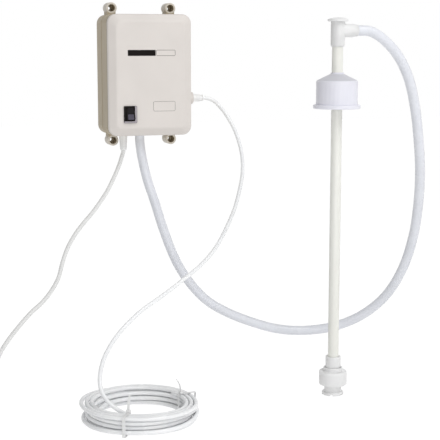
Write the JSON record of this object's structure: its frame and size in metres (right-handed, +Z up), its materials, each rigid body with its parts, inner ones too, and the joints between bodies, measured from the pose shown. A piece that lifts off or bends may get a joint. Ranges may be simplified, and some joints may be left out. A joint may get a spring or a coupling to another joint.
{
  "type": "bottled water pump",
  "caption": "Wall-mounted pump case with a rocker switch, a bottle wand with neck cap and float on a suction hose, a coil of delivery tube and a mains lead.",
  "frame": {"origin": "centre of the four wall screw holes, on the wall plane at the back of the case", "axes": "+X to the right as the case is faced, +Y into the wall, +Z up"},
  "size_m": [0.8349, 0.4366, 0.62],
  "materials": {
    "case_shell": "matte warm white",
    "cover_shell": "satin warm white",
    "black_plastic": "satin black",
    "rocker_plastic": "gloss dark grey",
    "grey_plastic": "matte grey",
    "white_plastic": "satin white",
    "ivory_tube": "satin ivory",
    "cap_plastic": "satin bluish white",
    "clear_tube": "milky translucent",
    "hose_plastic": "milky translucent",
    "cord_jacket": "satin white",
    "seal_rubber": "matte black",
    "grey_rubber": "matte grey",
    "steel": "plated",
    "motor_steel": "zinc plated",
    "brass_contact": "tinned brass",
    "bronze": "sintered bronze",
    "copper": "copper",
    "ferrite": "matte",
    "board": "solder mask",
    "wire": "insulation",
    "reed_glass": "clear"
  },
  "bodies": {
    "frame": {"rear_case": "case_shell", "front_cover": "cover_shell", "case_seal": "seal_rubber", "case_screws": "steel", "switch_housing": "black_plastic", "switch_terminals": "brass_contact", "pump_bracket": "motor_steel", "pump_feet": "seal_rubber", "foot_screws": "steel", "motor_can": "motor_steel", "motor_magnets": "ferrite", "motor_end_bell": "black_plastic", "motor_brushes": "ferrite", "front_bearing": "bronze", "drive_housing": "grey_plastic", "diaphragm": "seal_rubber", "valve_plate": "white_plastic", "pump_valves": "seal_rubber", "head_cover": "grey_plastic", "head_screws": "steel", "pressure_switch": "black_plastic", "inlet_spigot": "white_plastic", "hose_grommet": "white_plastic", "suction_sleeve": "grey_plastic", "delivery_sleeve": "grey_plastic", "outlet_fitting": "white_plastic", "outlet_nut": "white_plastic", "outlet_seal": "seal_rubber", "control_board": "board", "transformer": "motor_steel", "board_parts": "black_plastic", "wiring": "wire", "mains_gland": "white_plastic", "mains_cord": "cord_jacket", "mains_coil": "cord_jacket", "mains_tie": "black_plastic", "mains_plug": "white_plastic", "plug_pins": "brass_contact", "delivery_tube": "clear_tube", "tube_coil": "clear_tube", "tube_ties": "white_plastic", "suction_hose": "hose_plastic", "wand_head": "white_plastic", "head_plug": "white_plastic", "dip_tube": "ivory_tube", "float_stem": "white_plastic", "reed_switch": "reed_glass", "strainer_foot": "white_plastic"},
    "rocker": {"switch_rocker": "rocker_plastic"},
    "rotor": {"motor_shaft": "steel", "motor_armature": "copper", "motor_commutator": "copper", "wobble_hub": "steel"},
    "wobbler": {"wobble_plate": "white_plastic"},
    "collet": {"outlet_collet": "white_plastic"},
    "cap": {"neck_cap": "cap_plastic", "cap_gasket": "grey_rubber"},
    "float_drum": {"float": "white_plastic", "float_magnet": "ferrite"},
    "valve_disc": {"foot_valve": "seal_rubber"}
  },
  "joints": [
    {"name": "rocker_tilt", "type": "hinge", "parent": "frame", "child": "rocker", "pos_m": [-0.036, -0.0885, -0.064], "axis": [1, 0, 0], "range_deg": [0, 24]},
    {"name": "rotor_spin", "type": "hinge", "parent": "frame", "child": "rotor", "pos_m": [0.012, -0.048, 0], "axis": [0, 0, 1], "continuous": true},
    {"name": "wobble_nod", "type": "hinge", "parent": "rotor", "child": "wobbler", "pos_m": [0.012, -0.048, -0.0135], "axis": [0.0523, 0, 0.9986], "continuous": true},
    {"name": "collet_release", "type": "slide", "parent": "frame", "child": "collet", "axis": [-1, 0, 0], "range_m": [0, 0.0015], "stiffness_N_per_m": 1500},
    {"name": "cap_slide", "type": "slide", "parent": "frame", "child": "cap", "axis": [0, 0, 1], "range_m": [-0.1, 0.038]},
    {"name": "float_lift", "type": "slide", "parent": "frame", "child": "float_drum", "axis": [0, 0, 1], "range_m": [0, 0.01]},
    {"name": "foot_valve_lift", "type": "slide", "parent": "frame", "child": "valve_disc", "axis": [0, 0, 1], "range_m": [0, 0.003]}
  ],
  "couplings": [
    {"joint": "wobble_nod", "follows": "rotor_spin", "ratio": -1}
  ]
}
